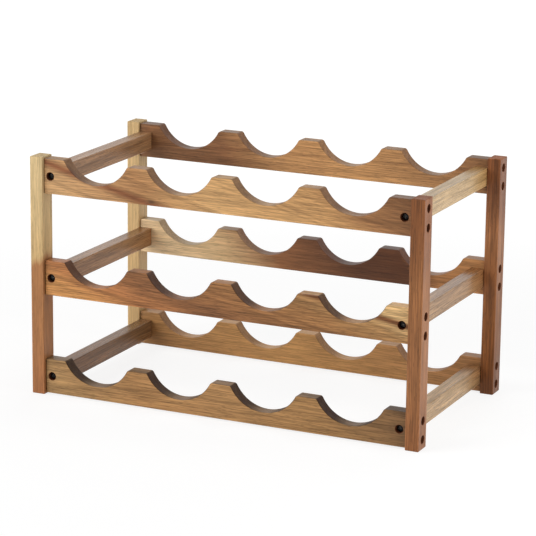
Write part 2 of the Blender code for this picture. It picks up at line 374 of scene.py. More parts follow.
def grain_group() -> Tree:
    """Draw the figure of the wood, from growth bands down to pores.

    Returns:
        A group that puts out five masks from 0 to 1: bands, streaks, mottle, fibres, pores.
    """
    outputs = ("Bands", "Streaks", "Mottle", "Fibres", "Pores")
    graph, given = new_group("acacia_grain", ("Vector",), ("Seed", "Rings", "Spacing"), outputs)
    point = given["Vector"]
    seed = graph.vector("SCALE", GRAIN_SHIFT, given["Seed"])

    turn = graph.math("DIVIDE", given["Rings"], given["Spacing"])
    turn = graph.math("MULTIPLY_ADD", given["Seed"], GROWTH_SHIFT, turn)
    growth = graph.add(
        "ShaderNodeTexNoise",
        {"W": turn, "Scale": 1.0, "Detail": 3.0, "Roughness": 0.62},
        noise_dimensions="1D",
    ).outputs["Fac"]
    patches = graph.noise(graph.stretch(point, PATCH_WAVES, seed))["Fac"]
    mottle = graph.noise(graph.stretch(point, MOTTLE_WAVES, seed), detail=3.0)["Fac"]
    fibres = graph.noise(graph.stretch(point, FIBRE_WAVES, seed))["Fac"]
    cells = {"Vector": graph.stretch(point, PORE_WAVES, seed), "Scale": 1.0}
    spot = graph.add("ShaderNodeTexVoronoi", cells).outputs["Distance"]
    masks = {
        "Bands": graph.step(growth, *BAND_RANGE),
        "Streaks": graph.step(graph.span(PATCHINESS, growth, patches), *STREAK_RANGE),
        "Mottle": graph.step(mottle, *MOTTLE_RANGE),
        "Fibres": graph.step(fibres, *FIBRE_RANGE),
        "Pores": graph.math("SUBTRACT", 1.0, graph.step(spot, *PORE_RANGE)),
    }
    graph.add("NodeGroupOutput", masks)
    return graph.tree


def tone_drift_group() -> Tree:
    """Say how far along a board a point lies, for colours that change along its length.

    Returns:
        A group that puts out 0 at one end and 1 at the other. Its lines of equal value lean
        across the board and break up along the grain.
    """
    numbers = ("Seed", "Length", "Blur")
    graph, given = new_group("tone_drift", ("Vector", "Lean"), numbers, ("Along",))
    point = given["Vector"]
    seed = graph.vector("SCALE", TONE_SHIFT, given["Seed"])
    cloud = graph.noise(graph.stretch(point, CLOUD_WAVES, seed))["Fac"]
    jag = graph.noise(graph.stretch(point, JAG_WAVES, seed))["Fac"]
    wander = graph.math("MULTIPLY_ADD", cloud, CLOUD_SHARE, jag)
    wander = graph.math("SUBTRACT", wander, (CLOUD_SHARE + 1.0) / 2)
    lean = graph.vector("DOT_PRODUCT", point, given["Lean"])
    along = graph.add("ShaderNodeSeparateXYZ", {0: point}).outputs["X"]
    along = graph.math("MULTIPLY_ADD", wander, given["Blur"], graph.math("ADD", along, lean))
    along = graph.math("ADD", graph.math("DIVIDE", along, given["Length"]), 0.5)
    graph.add("NodeGroupOutput", {"Along": along})
    return graph.tree


def sawn_faces_group() -> Tree:
    """Find the end grain, darkened partly as oil-soaked wood and partly as painted shade,
    and the faces that look up, darkened as painted shade.

    Returns:
        A group that puts out two masks from 0 to 1: end, where the surface is cut across
        the grain, and upper, where it looks up.
    """
    graph, given = new_group("sawn_faces", ("Grain", "Up"), (), ("End", "Upper"))
    normal = graph.add("ShaderNodeTexCoord").outputs["Normal"]
    facing = graph.math("ABSOLUTE", graph.vector("DOT_PRODUCT", normal, given["Grain"]))
    rising = graph.vector("DOT_PRODUCT", normal, given["Up"])
    masks = {"End": graph.step(facing, *END_RANGE), "Upper": graph.step(rising, *UPPER_RANGE)}
    graph.add("NodeGroupOutput", masks)
    return graph.tree


def edge_wear_and_highlight_group() -> Tree:
    """Find where an eased edge is lightened, partly as wear and partly as a painted highlight.

    Returns:
        A group that puts out 0 on whole surfaces and up to the amount asked on edges that show wear
        and a painted highlight.
    """
    graph, given = new_group("edge_wear_and_highlight", ("Vector",), ("Seed", "Amount"), ("Mask",))
    eased = graph.add("ShaderNodeAttribute", attribute_name=EASED).outputs["Fac"]
    point = graph.vector("SCALE", given["Vector"], WEAR_AND_HIGHLIGHT_WAVES)
    rubbed_and_highlit = graph.noise(graph.vector("ADD", point, given["Seed"]), detail=3.0)["Fac"]
    mask = graph.math("MULTIPLY", eased, graph.step(rubbed_and_highlit, *RUBBED_AND_HIGHLIT_RANGE))
    graph.add("NodeGroupOutput", {"Mask": graph.math("MULTIPLY", mask, given["Amount"])})
    return graph.tree


class Patterns:
    """The node groups that the finishes share, each made once."""

    def __init__(self) -> None:
        """Make every group."""
        self.log_space = log_space_group()
        self.grain = grain_group()
        self.tone_drift = tone_drift_group()
        self.sawn_faces = sawn_faces_group()
        self.edge_wear_and_highlight = edge_wear_and_highlight_group()


# ---- finishes


@dataclass(frozen=True)
class Board:
    """One board of acacia, as it came out of its log.

    Tones run along the grain as stops from 0 to 1, left to right, front to back or
    bottom to top; on some boards the darker stops are partly painted shade. Places across
    the board are pairs in metres from its middle: towards the back and the rack's left for
    a post, back and up for a cradle rail, left and up for a side rail. A knot's place starts
    with how far along the grain it is. Streakiness, contrast and figure say how strongly the
    streaks, the growth bands and the finer grain show. The end grain factor is what the end
    grain keeps of the board's brightness, darker partly as oil-soaked wood and partly as
    painted shade, and lighter as painted sheen where it is above 1. The top factor is what
    the upward faces keep of it, as painted shade.
    """

    tones: dict[float, Colour]
    seed: float
    roughness: float = 0.4
    streak: Colour = 0x703E21
    streakiness: float = 0.2
    contrast: float = 0.11
    figure: float = 0.13
    spacing: float = 0.0045
    pith: tuple[float, float] = (0.045, -0.06)
    tilt: tuple[float, float] = (0.02, 0.03)
    waviness: float = 0.006
    lean: tuple[float, float] = (0.6, 0.8)
    blur: float = 0.02
    heart: Colour = 0x78462D
    heart_edge: float = 0.0
    heart_blur: float = 0.004
    knot: tuple[float, float, float] = (9.0, 0.0, 0.0)
    knot_size: float = 0.001
    end_oil_and_painted_light: float = 0.34
    painted_top_shade: float = 1.0
    wear_and_highlight: float = 0.3


@dataclass(frozen=True)
class OiledWood:
    """The oil finish that every board has.

    The sheen colour is mixed into the end grain as a painted reflection, and the soak is taken
    off every colour of the end grain, partly for the oil it drinks and partly as painted shade.
    """

    patterns: Patterns
    drilled: Colour = 0x68381E
    grime: Colour = 0x462C1E
    painted_sheen: Colour = 0xD6A89A
    end_soak_and_painted_shade: Colour = 0x342F2D
    painted_sheen_share: float = 0.5
    grime_share: float = 0.75
    fibre_share: float = 2.4
    pore_share: float = 3.0
    wear_and_highlight_lift: float = 1.35
    sheen_level: float = 0.25
    roughness_spread: float = 0.06
    end_roughness: float = 0.16
    drilled_roughness: float = 0.3
    worn_roughness: float = -0.08
    fibre_height: float = 0.4
    relief_strength: float = 0.6
    pore_depth: float = 0.00012

    def dress(self, piece: Piece, node: str, board: Board, axis: Axis) -> None:
        """Give a wooden piece its material.

        Args:
            piece: the finished piece.
            node: the node whose place it takes.
            board: the board that it was cut from.
            axis: the direction of its grain.
        """
        material = bpy.data.materials.new("oiled_acacia_" + piece.name)
        graph = blank_graph(material)
        low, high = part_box(node)
        placing = {
            "Vector": graph.add("ShaderNodeTexCoord").outputs["Object"],
            "Location": -(axis.turn @ ((low + high) / 2)),
            "Rotation": axis.turn.to_euler(),
        }
        point = graph.add("ShaderNodeMapping", placing, vector_type="POINT").outputs["Vector"]
        here = {"Vector": point, "Seed": board.seed}
        pith = {"Pith": (0.0, *board.pith), "Tilt": (0.0, *board.tilt)}
        knot = {"Knot": board.knot, "Knot Size": board.knot_size}
        log = graph.use(self.patterns.log_space, here | {"Waviness": board.waviness} | pith | knot)
        rings = {"Rings": log["Rings"], "Spacing": board.spacing}
        grain = graph.use(self.patterns.grain, here | rings)
        drift = {"Length": (high - low).dot(axis.value), "Lean": (0.0, *board.lean)}
        along = graph.use(self.patterns.tone_drift, here | drift | {"Blur": board.blur})["Along"]
        sawn = graph.use(self.patterns.sawn_faces, {"Grain": axis.value, "Up": Axis.Z.value})
        wear_and_highlight = graph.use(self.patterns.edge_wear_and_highlight, here | {"Amount": board.wear_and_highlight})["Mask"]
        drilled = graph.add("ShaderNodeAttribute", attribute_name=DRILLED).outputs["Fac"]

        colour = self.colour_wood(graph, board, along, log, grain)
        # Eased edges are lightened here, partly as wear and partly as a painted highlight.
        colour = graph.mix(wear_and_highlight, colour, graph.shade(colour, self.wear_and_highlight_lift))
        # A pale colour is mixed into the end grain here as a painted sheen.
        painted_sheen = max(0.0, self.painted_sheen_share * board.end_oil_and_painted_light * (1.0 - board.end_oil_and_painted_light))
        # The end grain's colour is darkened here, partly as oil-soaked wood and partly as painted
        # shade; a factor above 1 lightens it as painted sheen.
        deep = graph.mix(painted_sheen, graph.shade(colour, board.end_oil_and_painted_light), linear(self.painted_sheen))
        # Every colour of the end grain is lowered here, partly as the oil it drinks and partly as
        # painted shade.
        deep = graph.vector("SUBTRACT", deep, linear(self.end_soak_and_painted_shade)[:3])
        # Faces that look up are darkened here as painted shade.
        colour = graph.mix(sawn["Upper"], colour, graph.shade(colour, board.painted_top_shade))
        colour = graph.mix(sawn["End"], colour, deep)
        colour = graph.mix(drilled, colour, linear(self.drilled))

        spread = self.roughness_spread
        rough = graph.span(grain["Mottle"], board.roughness + spread, board.roughness - spread)
        rough = graph.math("MULTIPLY_ADD", sawn["End"], self.end_roughness, rough)
        rough = graph.math("MULTIPLY_ADD", drilled, self.drilled_roughness, rough)
        rough = graph.math("MULTIPLY_ADD", wear_and_highlight, self.worn_roughness, rough)
        relief = graph.math("MULTIPLY", grain["Fibres"], self.fibre_height)
        relief = graph.math("SUBTRACT", relief, grain["Pores"])
        inputs = {
            "Base Color": colour, "Roughness": rough, "Specular IOR Level": self.sheen_level
        }
        graph.end_in_shader(inputs, relief, self.relief_strength, self.pore_depth)
        piece.data.materials.clear()
        piece.data.materials.append(material)

    def colour_wood(
        self, graph: Graph, board: Board, along: Socket, log: Sockets, grain: Sockets
    ) -> Socket:
        """Colour a board by its tones, its heart and its grain.

        Args:
            graph: the material's graph.
            board: the board with its tones.
            along: how far along the board a point lies.
            log: where in its log it lies.
            grain: the masks of the grain.

        Returns:
            The colour of a planed face.
        """
        ramp = graph.add("ShaderNodeValToRGB", {"Fac": along})
        stops = ramp.color_ramp.elements
        stops.remove(stops[1])
        for index, (place, tone) in enumerate(board.tones.items()):
            stop = stops[0] if index == 0 else stops.new(place)
            stop.position = place
            stop.color = linear(tone)
        inner = board.heart_edge - board.heart_blur
        outer = board.heart_edge + board.heart_blur
        heart = graph.math("SUBTRACT", 1.0, graph.step(log["Rings"], inner, outer))
        colour = graph.mix(heart, ramp.outputs["Color"], linear(board.heart))
        colour = graph.shade_either_way(colour, grain["Bands"], -board.contrast)
        streaks = graph.math("MULTIPLY", grain["Streaks"], board.streakiness)
        colour = graph.mix(streaks, colour, linear(board.streak))
        colour = graph.shade_either_way(colour, grain["Mottle"], board.figure)
        colour = graph.shade_either_way(colour, grain["Fibres"], self.fibre_share * board.figure)
        pores = graph.span(grain["Pores"], 1.0, 1.0 - self.pore_share * board.figure)
        colour = graph.shade(colour, pores)
        grime = graph.math("MULTIPLY", log["Near Knot"], self.grime_share)
        return graph.mix(grime, colour, linear(self.grime))


@dataclass(frozen=True)
class BlackenedSteel:
    """The black finish of the screws, scuffed grey where the driver has touched, and lighter on the
    recess walls partly as wear and partly as a painted glint.
    """

    base: Colour = 0x1A1919
    rubbed_and_highlit: Colour = 0x88837C
    metallic: float = 0.85
    roughness: tuple[float, float] = (0.26, 0.5)
    scuff_waves: float = 900.0
    scuff_range: tuple[float, float] = (0.5, 0.72)
    blotch_waves: float = 240.0
    blotch_range: tuple[float, float] = (0.4, 0.7)
    scuff_share: float = 0.5
    recess_wear_and_glint_share: float = 0.6
    relief_strength: float = 0.25
    scuff_depth: float = 0.00005

    def material(self) -> bpy.types.Material:
        """Make the one material that all the screws share.

        Returns:
            The material.
        """
        material = bpy.data.materials.new("blackened_steel")
        graph = blank_graph(material)
        point = graph.add("ShaderNodeTexCoord").outputs["Object"]
        close = graph.vector("SCALE", point, self.scuff_waves)
        scuffs = graph.noise(close, detail=3.0, rough=0.6)["Fac"]
        blotches = graph.noise(graph.vector("SCALE", point, self.blotch_waves))["Fac"]
        wear_and_highlight = graph.step(scuffs, *self.scuff_range)
        wear_and_highlight = graph.math("MULTIPLY", wear_and_highlight, graph.step(blotches, *self.blotch_range))
        wear_and_highlight = graph.math("MULTIPLY", wear_and_highlight, self.scuff_share)
        # The recess walls take the pale colour here, partly as wear and partly as a painted glint.
        eased = graph.add("ShaderNodeAttribute", attribute_name=EASED).outputs["Fac"]
        wear_and_highlight = graph.math("MAXIMUM", wear_and_highlight, graph.math("MULTIPLY", eased, self.recess_wear_and_glint_share))
        colour = graph.mix(wear_and_highlight, linear(self.base), linear(self.rubbed_and_highlit))
        rough = graph.span(blotches, *self.roughness)
        inputs = {"Base Color": colour, "Roughness": rough, "Metallic": self.metallic}
        graph.end_in_shader(inputs, scuffs, self.relief_strength, self.scuff_depth)
        return material


# ---- shaping


def new_shape() -> Shape:
    """Start a bmesh with the two face layers that the materials read.

    Returns:
        The empty bmesh.
    """
    shape = bmesh.new()
    for layer_name in (EASED, DRILLED):
        shape.faces.layers.float.new(layer_name)
    return shape


def new_object(name: str, shape: Shape) -> Piece:
    """Turn a bmesh into an object in the scene, and free it.

    Args:
        name: the object's name.
        shape: the bmesh.

    Returns:
        The object, at the origin.
    """
    mesh = bpy.data.meshes.new(name)
    shape.to_mesh(mesh)
    shape.free()
    made = bpy.data.objects.new(name, mesh)
    bpy.context.scene.collection.objects.link(made)
    return made


def apply_modifiers(piece: Piece) -> None:
    """Replace a piece's mesh by what its modifiers make of it.

    Args:
        piece: the piece, which is left without modifiers.
    """
    bpy.context.view_layer.update()
    evaluated = piece.evaluated_get(bpy.context.evaluated_depsgraph_get())
    finished = bpy.data.meshes.new_from_object(evaluated)
    piece.modifiers.clear()
    piece.data = finished


def mark_faces(shape: Shape, layer_name: str, faces: Sequence) -> None:
    """Mark faces with a 1 in one of the layers that the materials read.

    Args:
        shape: the bmesh that the faces are in.
        layer_name: the layer.
        faces: the faces to mark.
    """
    layer = shape.faces.layers.float[layer_name]
    for face in faces:
        face[layer] = 1.0


def join_shapes(shapes: Sequence[Shape]) -> Shape:
    """Join several shapes into one, and free them.

    Args:
        shapes: the shapes to join.

    Returns:
        The joined shape.
    """
    joined = new_shape()
    for shape in shapes:
        mesh = bpy.data.meshes.new("joined")
        shape.to_mesh(mesh)
        shape.free()
        joined.from_mesh(mesh)
        bpy.data.meshes.remove(mesh)
    return joined


def turned_shape(profile: Sequence[tuple[float, float]], segments: int) -> Shape:
    """Turn a half profile about Z.

    Args:
        profile: (radius, height) points down the outer side, from the axis to the axis.
        segments: steps round the circle.

    Returns:
        The turned bmesh, closed.
    """
    shape = new_shape()
    points = [shape.verts.new((radius, 0.0, height)) for radius, height in profile]
    line = [shape.edges.new(pair) for pair in itertools.pairwise(points)]
    bmesh.ops.spin(
        shape, geom=points + line, cent=(0, 0, 0), axis=(0, 0, 1), angle=math.tau,
        steps=segments, use_merge=True,
    )
    bmesh.ops.remove_doubles(shape, verts=shape.verts, dist=MERGE_DISTANCE)
    bmesh.ops.recalc_face_normals(shape, faces=shape.faces)
    return shape


@dataclass
class Screw:
    """A pan-head wood screw with a cross recess, at the place of one screw of the model.

    The model's screw gives the direction, the place of the head and the length. Shapes
    are made along Z, with the underside of the head at zero, and then put in place.
    """

    node: str
    host: str
    recess_turn: float
    head_radius: float = 0.00375
    head_height: float = 0.0024
    rim_height: float = 0.0009
    shank_radius: float = 0.0019
    core_radius: float = 0.00135
    root_share: float = 0.9
    thread_pitch: float = 0.0013
    ridge_share: float = 0.6
    thread_start: float = 0.0085
    tip_length: float = 0.005
    recess_length: float = 0.0046
    recess_width: float = 0.00095
    recess_depth: float = 0.0015
    recess_taper: float = 0.55
    head_clearance: float = 0.0007
    fit_gap: float = 0.0003
    tip_clearance: float = 0.001
    mouth_flare: float = 0.0003
    segments: int = 28
    dome_segments: int = 6
    hole_segments: int = 40

    def __post_init__(self) -> None:
        """Read the screw's direction, seat and length from the frame."""
        low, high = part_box(self.node)
        size = high - low
        middle = (low + high) / 2
        axis = max(range(3), key=lambda index: size[index])
        self.outward = Vector((0, 0, 0))
        self.outward[axis] = math.copysign(1.0, middle[axis])
        self.seat = middle + self.outward * (size[axis] / 2 - self.head_height)
        self.length = size[axis] - self.head_height
        face = max(corner.dot(self.outward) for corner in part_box(self.host))
        self.sunk = face - self.seat.dot(self.outward)

    @property
    def place(self) -> Matrix:
        """Matrix that takes a shape made along Z to this screw."""
        turn = self.outward.to_track_quat("Z", "Y").to_matrix().to_4x4()
        return Matrix.Translation(self.seat) @ turn

    def reaches(self, node: str) -> bool:
        """Tell whether the head or the point of the screw lies inside a node's box.

        Args:
            node: the node of a wooden piece.

        Returns:
            Whether the screw reaches into it.
        """
        low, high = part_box(node)
        ends = (self.seat, self.seat - self.outward * self.length)
        return any(all(low[i] <= end[i] <= high[i] for i in range(3)) for end in ends)

    def body(self) -> Shape:
        """Turn the domed head and the shank down to the point.

        Returns:
            The shape, closed.
        """
        dome = self.head_height - self.rim_height
        quarter = math.pi / 2 / self.dome_segments
        crown = [
            (self.head_radius * math.sin(angle), self.rim_height + dome * math.cos(angle))
            for angle in (quarter * step for step in range(self.dome_segments + 1))
        ]
        shank = [
            (self.head_radius, 0.0),
            (self.shank_radius, 0.0),
            (self.shank_radius, -self.thread_start),
            (self.core_radius, -self.thread_start - self.thread_pitch),
            (self.core_radius, self.tip_length - self.length),
            (0.0, -self.length),
        ]
        return turned_shape(crown + shank, self.segments)

    def thread(self) -> Shape:
        """Wind the ridge round the core, down to where the point begins.

        Returns:
            The shape, closed.
        """
        ridge = new_shape()
        half = self.thread_pitch * self.ridge_share / 2
        top = -self.thread_start - self.thread_pitch
        root = self.core_radius * self.root_share
        corners = ((root, top + half), (self.shank_radius, top), (root, top - half))
        points = [ridge.verts.new((radius, 0.0, height)) for radius, height in corners]
        section = ridge.faces.new(points)
        threaded = self.length - self.thread_start - self.tip_length
        turns = int(threaded / self.thread_pitch) - 1
        steps = turns * self.segments // 2
        drop = -turns * self.thread_pitch / steps
        bmesh.ops.spin(
            ridge, geom=[section], cent=(0, 0, 0), axis=(0, 0, 1), angle=turns * math.tau,
            dvec=(0, 0, drop), steps=steps,
        )
        bmesh.ops.recalc_face_normals(ridge, faces=ridge.faces)
        return ridge

    def recess(self) -> Shape:
        """Shape the tapered cross that a driver fits.

        Returns:
            The shape to cut away.
        """
        cutter = new_shape()
        arm = (self.recess_length, self.recess_width)
        for width, length in (arm, arm[::-1]):
            corners = bmesh.ops.create_cube(cutter, size=1.0)["verts"]
            bmesh.ops.scale(cutter, vec=(width, length, 2 * self.recess_depth), verts=corners)
            floor = [corner for corner in corners if corner.co.z < 0]
            bmesh.ops.scale(cutter, vec=(self.recess_taper, self.recess_taper, 1), verts=floor)
        turn = Matrix.Rotation(self.recess_turn, 3, "Z")
        bmesh.ops.rotate(cutter, cent=(0, 0, 0), matrix=turn, verts=cutter.verts)
        bmesh.ops.translate(cutter, vec=(0, 0, self.head_height), verts=cutter.verts)
        # The recess walls carry the eased mark, which the steel lightens partly as a painted glint.
        mark_faces(cutter, EASED, cutter.faces)
        return cutter

    def drill(self) -> Shape:
        """Shape the hole that the screw sits in, with its mouth flared a little.

        Returns:
            The shape to cut away, in place.
        """
        bore = self.head_radius + self.head_clearance
        hole = self.shank_radius + self.fit_gap
        bottom = -self.length - self.fit_gap - self.tip_clearance
        mouth = self.sunk + bore
        cutter = turned_shape(
            [
                (0.0, mouth),
                (bore + self.mouth_flare + bore, mouth),
                (bore, self.sunk - self.mouth_flare),
                (bore, -self.fit_gap),
                (hole, -self.fit_gap),
                (hole, bottom),
                (0.0, bottom),
            ],
            self.hole_segments,
        )
        mark_faces(cutter, DRILLED, cutter.faces)
        bmesh.ops.transform(cutter, matrix=self.place, verts=cutter.verts)
        return cutter

    def build(self, steel: bpy.types.Material, slot: str) -> Piece:
        """Model the screw and put it in place of its node.

        Args:
            steel: the screws' material.
            slot: the record's material slot; not used.

        Returns:
            The finished screw.
        """
        screw = new_object(self.node + "_finished", self.body())
        cut_away(screw, self.recess())
        whole = new_shape()
        whole.from_mesh(screw.data)
        whole = join_shapes([whole, self.thread()])
        bmesh.ops.transform(whole, matrix=self.place, verts=whole.verts)
        whole.to_mesh(screw.data)
        whole.free()
        finish_surface(screw)
        screw.data.materials.clear()
        screw.data.materials.append(steel)
        stand_for(screw, self.node)
        return screw


def cut_away(piece: Piece, cutter_shape: Shape) -> None:
    """Cut a shape out of a piece.

    Args:
        piece: the piece, whose mesh is replaced by the cut one.
        cutter_shape: what to cut away; it is used up.
    """
    cutter = new_object("cutter", cutter_shape)
    cut = piece.modifiers.new("Cut", "BOOLEAN")
    cut.operation = "DIFFERENCE"
    cut.solver = "EXACT"
    cut.use_self = True
    cut.object = cutter
    apply_modifiers(piece)
    bpy.data.objects.remove(cutter, do_unlink=True)


def finish_surface(piece: Piece) -> None:
    """Shade a piece smooth, with its flat faces flat and its rims sharp.

    Args:
        piece: the piece, whose mesh is replaced by the shaded one.
    """
    piece.data.shade_smooth()
    piece.data.set_sharp_from_angle(angle=SHARP_ANGLE)
    weighting = piece.modifiers.new("Weighted normals", "WEIGHTED_NORMAL")
    weighting.mode = "FACE_AREA"
    weighting.weight = 100
    weighting.keep_sharp = True
    apply_modifiers(piece)


def stand_for(piece: Piece, node: str) -> None:
    """Put a finished piece in place of a node, on the rack's one body.

    Args:
        piece: the finished piece.
        node: the node.
    """
    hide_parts(node)
    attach(piece, BODY)


# ---- wooden pieces


@dataclass
class WoodenBlock:
    """A square-sawn piece with eased edges, such as a post or a side rail."""

    node: str
    board: Board
    axis: Axis
    edge_round: float = 0.0008
    edge_segments: int = 4

    def shape(self) -> Shape:
        """Model the piece before its edges are eased and its holes are drilled.

        Returns:
            The shape, with sharp edges.
        """
        low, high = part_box(self.node)
        block = new_shape()
        bmesh.ops.create_cube(block, size=1.0)
        bmesh.ops.scale(block, vec=high - low, verts=block.verts)
        bmesh.ops.translate(block, vec=(low + high) / 2, verts=block.verts)
        return block

    def build(self, screws: Sequence[Screw], finish: OiledWood, slot: str) -> Piece:
        """Model the piece, drill it, dress it and put it in place of its node.

        Args:
            screws: every screw of the rack; those that reach the piece are drilled for.
            finish: the oil finish.
            slot: the record's material slot; not used.

        Returns:
            The finished piece.
        """
        shape = self.shape()
        sharp = [edge for edge in shape.edges if edge.calc_face_angle() > SHARP_ANGLE]
        eased = bmesh.ops.bevel(
            shape, geom=sharp, offset=self.edge_round, offset_type="OFFSET", affect="EDGES",
            segments=self.edge_segments, profile=0.5, material=-1, clamp_overlap=True,
        )
        mark_faces(shape, EASED, eased["faces"])
        piece = new_object(self.node + "_finished", shape)
        drills = [screw.drill() for screw in screws if screw.reaches(self.node)]
        if drills:
            cut_away(piece, join_shapes(drills))
        finish_surface(piece)
        finish.dress(piece, self.node, self.board, self.axis)
        stand_for(piece, self.node)
        return piece


@dataclass
class CradleRail(WoodenBlock):
    """A board with a row of scallops in its top, for the bottles."""

    cradles: int = 4
    cradle_radius: float = 0.0415
    web: float = 0.0145
    corner_radius: float = 0.0035
    shoulder: float = 0.0224
    cradle_steps: int = 64
    corner_steps: int = 9

    def shape(self) -> Shape:
        """Draw the board's outline in its front face and give it its thickness.

        Returns:
            The shape, with sharp edges.
        """
        low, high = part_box(self.node)
        board = new_shape()
        reach = self.cradle_radius + self.corner_radius
        rise = reach - (high.z - low.z - self.web)
        half = math.sqrt(reach**2 - rise**2)
        tangent = math.atan2(rise, half)
        corner_z = high.z - self.corner_radius
        first = low.x + self.shoulder + half
        pitch = (high.x - low.x - 2 * (self.shoulder + half)) / (self.cradles - 1)

        path = [board.verts.new((low.x, low.y, low.z)), board.verts.new((low.x, low.y, high.z))]

        def draw_to(x: float, z: float) -> None:
            """Carry the outline on in a straight line."""
            path.append(board.verts.new((x, low.y, z)))
            board.edges.new(path[-2:])

        def turn_about(x: float, z: float, angle: float, steps: int) -> None:
            """Carry the outline on round a centre.

            Args:
                x: the centre's place along the board.
                z: the centre's height.
                angle: how far round it goes, in radians.
                steps: the number of steps.
            """
            arc = bmesh.ops.spin(
                board, geom=path[-1:], cent=(x, low.y, z), axis=(0, 1, 0), angle=angle, steps=steps
            )
            path.append(arc["geom_last"][0])

        board.edges.new(path)
        for index in range(self.cradles):
            middle = first + index * pitch
            draw_to(middle - half, high.z)
            turn_about(middle - half, corner_z, math.pi / 2 - tangent, self.corner_steps)
            turn_about(middle, corner_z + rise, 2 * tangent - math.pi, self.cradle_steps)
            turn_about(middle + half, corner_z, math.pi / 2 - tangent, self.corner_steps)
        draw_to(high.x, high.z)
        draw_to(high.x, low.z)
        board.edges.new((path[-1], path[0]))
        face = bmesh.ops.contextual_create(board, geom=board.edges[:])["faces"]
        back = bmesh.ops.extrude_face_region(board, geom=face, use_keep_orig=True)["geom"]
        moved = [part for part in back if isinstance(part, bmesh.types.BMVert)]
        bmesh.ops.translate(board, vec=(0, high.y - low.y, 0), verts=moved)
        bmesh.ops.recalc_face_normals(board, faces=board.faces)
        return board


# ---- the rack


POST_BOARDS: dict[tuple[Place, Place], Board] = {
    (Place.FRONT, Place.LEFT): Board(
        tones={
            0.0: 0xAA7046, 0.25: 0xAD774B, 0.55: 0xAD784C, 0.585: 0xD5B27C, 0.75: 0xDDBE8A,
            1.0: 0xDBBF8D,
        },
        seed=1.0, lean=(0.0, 0.6), blur=0.006, streakiness=0.1, contrast=0.05, figure=0.07,
        end_oil_and_painted_light=0.9,
    ),
    (Place.FRONT, Place.RIGHT): Board(
        tones={0.0: 0x966038, 0.25: 0x9E6941, 0.6: 0x9C673E, 0.78: 0x895631, 1.0: 0x8A542E},
        seed=2.0, streak=0x683A22, streakiness=0.12, contrast=0.07, figure=0.12,
        pith=(-0.03, 0.012), tilt=(0.0, 0.02), end_oil_and_painted_light=0.8,
    ),
    (Place.BACK, Place.LEFT): Board(
        tones={0.0: 0xCDAA76, 0.5: 0xD6B480, 1.0: 0xD6B682},
        seed=3.0, streakiness=0.1, contrast=0.05, figure=0.07, end_oil_and_painted_light=0.9,
    ),
    (Place.BACK, Place.RIGHT): Board(
        tones={
            0.0: 0x784825, 0.25: 0x86532C, 0.5: 0x96623C, 0.66: 0x9A6742, 0.78: 0x825333,
            1.0: 0x78482A,
        },
        # An end grain factor above 1 lightens this post's top as a painted sheen.
        seed=4.0, streak=0x58301E, streakiness=0.15, contrast=0.1, end_oil_and_painted_light=1.5,
    ),
}
CRADLE_BOARDS: dict[tuple[Place, Tier], Board] = {
    # The darker stops around 0.26 and from 0.86 to the right end are partly painted shade.
    (Place.FRONT, Tier.TOP): Board(
        tones={
            0.0: 0xC99E6E, 0.12: 0xBE9062, 0.26: 0xB48355, 0.45: 0xD6A871, 0.75: 0xC89863,
            0.86: 0xA4744A, 1.0: 0x805736,
        },
        seed=5.0, streakiness=0.14, figure=0.1, end_oil_and_painted_light=0.42, painted_top_shade=0.68,
        pith=(-0.0075, -0.0375), tilt=(0.0, -0.25), heart=0x8C5837, heart_edge=0.0036,
        heart_blur=0.0034, knot=(-0.0815, -0.0075, -0.0145), knot_size=0.0026,
    ),
    # The darker stops from 0.36 to 0.5 are partly painted shade.
    (Place.FRONT, Tier.MIDDLE): Board(
        tones={
            0.0: 0xC88E54, 0.13: 0xB27647, 0.36: 0x8C5E3B, 0.5: 0x9A6A41, 0.74: 0xA27447,
            0.88: 0xB88C5A, 0.99: 0xE0B880,
        },
        seed=6.0, streak=0x744A2A, streakiness=0.4, waviness=0.008, lean=(0.6, 3.0),
        pith=(-0.0075, 0.039), tilt=(0.0, -0.19), heart=0x7A4C2A, heart_edge=0.0034,
        heart_blur=0.0026, end_oil_and_painted_light=0.2,
    ),
    # The darker stops from 0.88 to the right end are partly painted shade.
    (Place.FRONT, Tier.BOTTOM): Board(
        tones={
            0.0: 0xB28C5D, 0.25: 0xAC8051, 0.5: 0xBA8D5B, 0.75: 0xAC8252, 0.88: 0x946F47,
            1.0: 0x785838,
        },
        seed=7.0, streakiness=0.16, contrast=0.08, spacing=0.003, end_oil_and_painted_light=0.1, painted_top_shade=0.42,
    ),
    # The darker stops at both ends are partly painted shade.
    (Place.BACK, Tier.TOP): Board(
        tones={
            0.0: 0x865E3E, 0.24: 0x865C3C, 0.4: 0xBA8A5A, 0.6: 0xC69460, 0.85: 0xAC7E52,
            1.0: 0x8A6240,
        },
        seed=8.0, streakiness=0.25, end_oil_and_painted_light=0.62, painted_top_shade=0.64,
    ),
    # The dark stops from 0.62 to 0.78 are partly painted shade.
    (Place.BACK, Tier.MIDDLE): Board(
        tones={
            0.0: 0xF0D2A6, 0.2: 0xE0BE8E, 0.38: 0x946441, 0.62: 0x5E3C28, 0.78: 0x5C3823,
            0.84: 0xAC784A, 1.0: 0xC08A58,
        },
        seed=9.0, streakiness=0.14, figure=0.1, end_oil_and_painted_light=0.55, painted_top_shade=0.6,
    ),
    (Place.BACK, Tier.BOTTOM): Board(
        tones={0.0: 0xA87C4E, 0.45: 0xC4945C, 1.0: 0xA2744A},
        seed=10.0, streakiness=0.12, contrast=0.08, figure=0.1, end_oil_and_painted_light=0.62,
    ),
}
